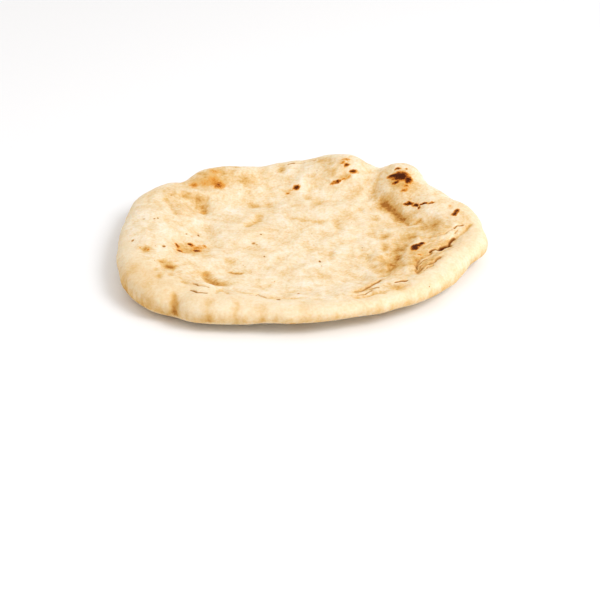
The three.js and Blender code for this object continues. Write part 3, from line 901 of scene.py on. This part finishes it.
def ramp(tree, value, label, stops):
    node = tree.nodes.new("ShaderNodeValToRGB")
    node.label = label
    first, last = node.color_ramp.elements
    first.position, first.color = stops[0]
    last.position, last.color = stops[-1]
    for position, color in stops[1:-1]:
        node.color_ramp.elements.new(position).color = color
    tree.links.new(value, node.inputs["Fac"])
    return node.outputs["Color"]


def blended(tree, label, amount, below, over):
    """A mix of two colours, where an amount of 1 shows only the one over the other."""
    node = tree.nodes.new("ShaderNodeMix")
    node.data_type = "RGBA"
    node.label = label
    for name, value in (("Factor", amount), ("A", below), ("B", over)):
        tree.links.new(value, next(s for s in node.inputs if s.name == name and s.enabled))
    return next(s for s in node.outputs if s.enabled)


print("colour builders ready")

# %% [markdown]
# ## Colours of dough, toast and char
#
# Each of the three ramps starts near the cream that it lies on, so a soft edge shows no ring of a
# strange colour. Toast turns golden before it turns brown, but the painted shade and brown inside a
# crack doesn't.

# %% Colour ramps
WARMTH = [
    (0.0, linear(245, 234, 216)),
    (0.25, linear(236, 217, 184)),
    (0.45, linear(228, 197, 149)),
    (0.65, linear(216, 174, 108)),
    (0.85, linear(194, 138, 66)),
    (1.0, linear(164, 106, 44)),
]
BROWNING = [
    (0.0, linear(236, 206, 156)),
    (0.3, linear(228, 176, 98)),
    (0.5, linear(212, 140, 52)),
    (0.68, linear(168, 92, 28)),
    (0.85, linear(108, 50, 12)),
    (1.0, linear(72, 28, 2)),
]
CRACK_BROWN_AND_SHADE_RAMP = [
    (0.0, linear(226, 192, 140)),
    (0.35, linear(196, 146, 82)),
    (0.6, linear(156, 100, 42)),
    (0.85, linear(108, 54, 14)),
    (1.0, linear(86, 36, 6)),
]
print("ramp stops", len(WARMTH) + len(BROWNING) + len(CRACK_BROWN_AND_SHADE_RAMP))

# %% [markdown]
# ## Mottle, ragged edges and pores
#
# Flour lies in blotches of two sizes, which shift the warmth up and down. A scorched edge is
# ragged, because single grains burn or don't, so its browning is multiplied by fine noise. Pores are
# faint dots of painted shade where the smallest bubbles broke. These three are too small for the
# mesh, and noise in the material gives them everywhere alike.

# %% Fine patterns
FINE_MOTTLE = {"size": 1.3, "swing": 0.15}
BROAD_MOTTLE = {"size": 5, "swing": 0.14}
RAGGED_SIZE = 0.9
RAGGED_SWING = (0.68, 1.3)
PORE_SPACING = 7.0
PORE_WIDTH = 0.8
PORE_SHARE = 0.35
PORE_SHADE = 0.5


def blotches(tree, place, label, size, swing):
    """Warmth that swings up and down in blotches of so many millimetres."""
    value = noise_node(tree, place, label + " mottle", size, 3, 0.6)
    return stretched(tree, value, label + " swing", 0.2, 0.8, -swing, swing)


def mottle(tree, place):
    fine = blotches(tree, place, "fine", **FINE_MOTTLE)
    broad = blotches(tree, place, "broad", **BROAD_MOTTLE)
    both = maths(tree, "ADD", "both mottles", fine, broad)
    return maths(tree, "MULTIPLY", "mottles here", both, painted(tree, "mottling"))


def ragged_browning(tree, place):
    ragged = noise_node(tree, place, "ragged edges", RAGGED_SIZE, 4, 0.7)
    swing = stretched(tree, ragged, "swing", 0.25, 0.75, *RAGGED_SWING)
    return maths(tree, "MULTIPLY", "ragged browning", painted(tree, "browning"), swing)


def pores(tree, place):
    cells = tree.nodes.new("ShaderNodeTexVoronoi")
    cells.label = "scattered pores"
    cells.inputs["Scale"].default_value = 1 / (PORE_SPACING * MM)
    tree.links.new(place, cells.inputs["Vector"])
    reach = 0.5 * PORE_WIDTH / PORE_SPACING
    dot = stretched(tree, cells.outputs["Distance"], "dot", 0.4 * reach, 1.3 * reach, PORE_SHADE, 0.0)
    chosen = stretched(tree, cells.outputs["Color"], "some cells", PORE_SHARE, PORE_SHARE + 0.1, 1.0, 0.0)
    return maths(tree, "MULTIPLY", "chosen dots", dot, chosen)


print("patterns ready, with pores", PORE_SPACING, "mm apart")

# %% [markdown]
# ## Baking the crust
#
# The browned colour covers the dough where there is enough of it, and the painted shade and brown
# of cracks covers both. Char is a little smoother than flour. A little light goes into the crumb and
# comes out again, which is why shadows on bread look warm: a plain white surface would have grey ones.

# %% Bake the crust
BROWN_SHOWS = (0.14, 0.46)
DARK_SHOWS = (0.06, 0.4)
FLOUR_ROUGHNESS = 0.85
CHAR_ROUGHNESS = 0.65
GRAIN_SIZE = 1.0
GRAIN_STRENGTH = 0.7
GRAIN_HEIGHT = 0.35 * MM
CRUMB = {"Specular IOR Level": 0.06, "Subsurface Weight": 0.15, "Subsurface Scale": 1.2 * MM,
         "Subsurface Radius": (1.0, 0.55, 0.3)}


def crust_color(tree, place, brown):
    warm = maths(tree, "ADD", "warmth here", painted(tree, "warmth_and_shade"), mottle(tree, place))
    browned = stretched(tree, brown, "how browned", *BROWN_SHOWS)
    baked = blended(tree, "crust", browned, ramp(tree, warm, "dough", WARMTH),
                    ramp(tree, brown, "browning", BROWNING))
    # The dark of cracks, pinholes and pores is painted shade, with some brown of the cracks' own.
    dark = maths(tree, "MAXIMUM", "cracks or pores", painted(tree, "crack_brown_and_shade"), pores(tree, place))
    darkened = stretched(tree, dark, "how dark", *DARK_SHOWS)
    return blended(tree, "crust with cracks", darkened, baked, ramp(tree, dark, "inside cracks", CRACK_BROWN_AND_SHADE_RAMP))


def flour_grain(tree, place):
    bump = tree.nodes.new("ShaderNodeBump")
    bump.inputs["Strength"].default_value = GRAIN_STRENGTH
    bump.inputs["Distance"].default_value = GRAIN_HEIGHT
    tree.links.new(noise_node(tree, place, "grain of the flour", GRAIN_SIZE, 4, 0.65), bump.inputs["Height"])
    return bump.outputs["Normal"]


def crust_material():
    material = bpy.data.materials.new("baked_crust")
    material.use_nodes = True
    tree = material.node_tree
    shader = tree.nodes["Principled BSDF"]
    place = tree.nodes.new("ShaderNodeTexCoord").outputs["Object"]
    brown = ragged_browning(tree, place)
    rough = stretched(tree, brown, "char is smoother", 0.5, 1.0, FLOUR_ROUGHNESS, CHAR_ROUGHNESS)
    tree.links.new(crust_color(tree, place, brown), shader.inputs["Base Color"])
    tree.links.new(rough, shader.inputs["Roughness"])
    tree.links.new(flour_grain(tree, place), shader.inputs["Normal"])
    for name, value in CRUMB.items():
        shader.inputs[name].default_value = value
    return material


crust.data.materials.clear()
crust.data.materials.append(crust_material())
crust.data.shade_smooth()
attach(crust, "root")
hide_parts("pita")
print("crust baked with", len(crust.data.materials[0].node_tree.nodes), "nodes")

# %% [markdown]
# ## Floor, light and camera
#
# The bread lies on a plain white floor in soft daylight from the right. One large lamp makes the
# shadows, and a pale warm sky fills them. A sky alone would leave the dents without any shading.

# %% Floor
FLOOR_WIDTH = 20
FLOOR_COLOR = (0.93, 0.95, 0.99, 1)
FLOOR_ROUGHNESS = 0.9


def make_floor():
    bpy.ops.mesh.primitive_plane_add(size=FLOOR_WIDTH)
    floor = bpy.context.object
    floor.name = "floor"
    material = bpy.data.materials.new("white_floor")
    material.use_nodes = True
    shader = material.node_tree.nodes["Principled BSDF"]
    shader.inputs["Base Color"].default_value = FLOOR_COLOR
    shader.inputs["Roughness"].default_value = FLOOR_ROUGHNESS
    floor.data.materials.append(material)
    return floor


print("floor", [round(v, 1) for v in make_floor().dimensions])

# %% Light
KEY_PLACE = (0.82, -0.50, 0.90)
KEY_SIZE = 0.6
KEY_WATTS = 9.5
SKY_COLOR = (1, 0.96, 0.91, 1)
SKY_STRENGTH = 0.84


def key_lamp():
    light = bpy.data.lights.new("key", "AREA")
    light.size = KEY_SIZE
    light.energy = KEY_WATTS
    light.color = (1, 1, 1)
    lamp = bpy.data.objects.new("key", light)
    lamp.location = KEY_PLACE
    lamp.rotation_euler = (-Vector(KEY_PLACE)).to_track_quat("-Z", "Y").to_euler()
    bpy.context.scene.collection.objects.link(lamp)
    return lamp


def sky():
    world = bpy.data.worlds.new("sky")
    world.use_nodes = True
    world.node_tree.nodes["Background"].inputs["Color"].default_value = SKY_COLOR
    world.node_tree.nodes["Background"].inputs["Strength"].default_value = SKY_STRENGTH
    return world


key = key_lamp()
bpy.context.scene.world = sky()
bpy.context.scene.view_settings.view_transform = "Standard"
print("key lamp", round(key.location.length, 2), "m away")

# %% [markdown]
# ## The eye
#
# The camera looks down at the dish as one looks at a plate across the table. Its height above the
# table came from how flat the round outline appears.

# %% Camera
EYE_RAISED = 25.0
EYE_DISTANCE = 0.65
LENS = 80.1
AIM_BELOW = 2.78
AIM_LEFT = 0.13
DISH_MIDDLE = 8 * MM

camera_data = bpy.data.cameras.new("camera")
camera_data.lens = LENS
camera = bpy.data.objects.new("camera", camera_data)
raised = math.radians(EYE_RAISED)
camera.location = (0, -EYE_DISTANCE * math.cos(raised), DISH_MIDDLE + EYE_DISTANCE * math.sin(raised))
camera.rotation_euler = (math.radians(90 - EYE_RAISED - AIM_BELOW), 0, math.radians(AIM_LEFT))
bpy.context.scene.collection.objects.link(camera)
bpy.context.scene.camera = camera
print("camera at", [round(v, 3) for v in camera.location])
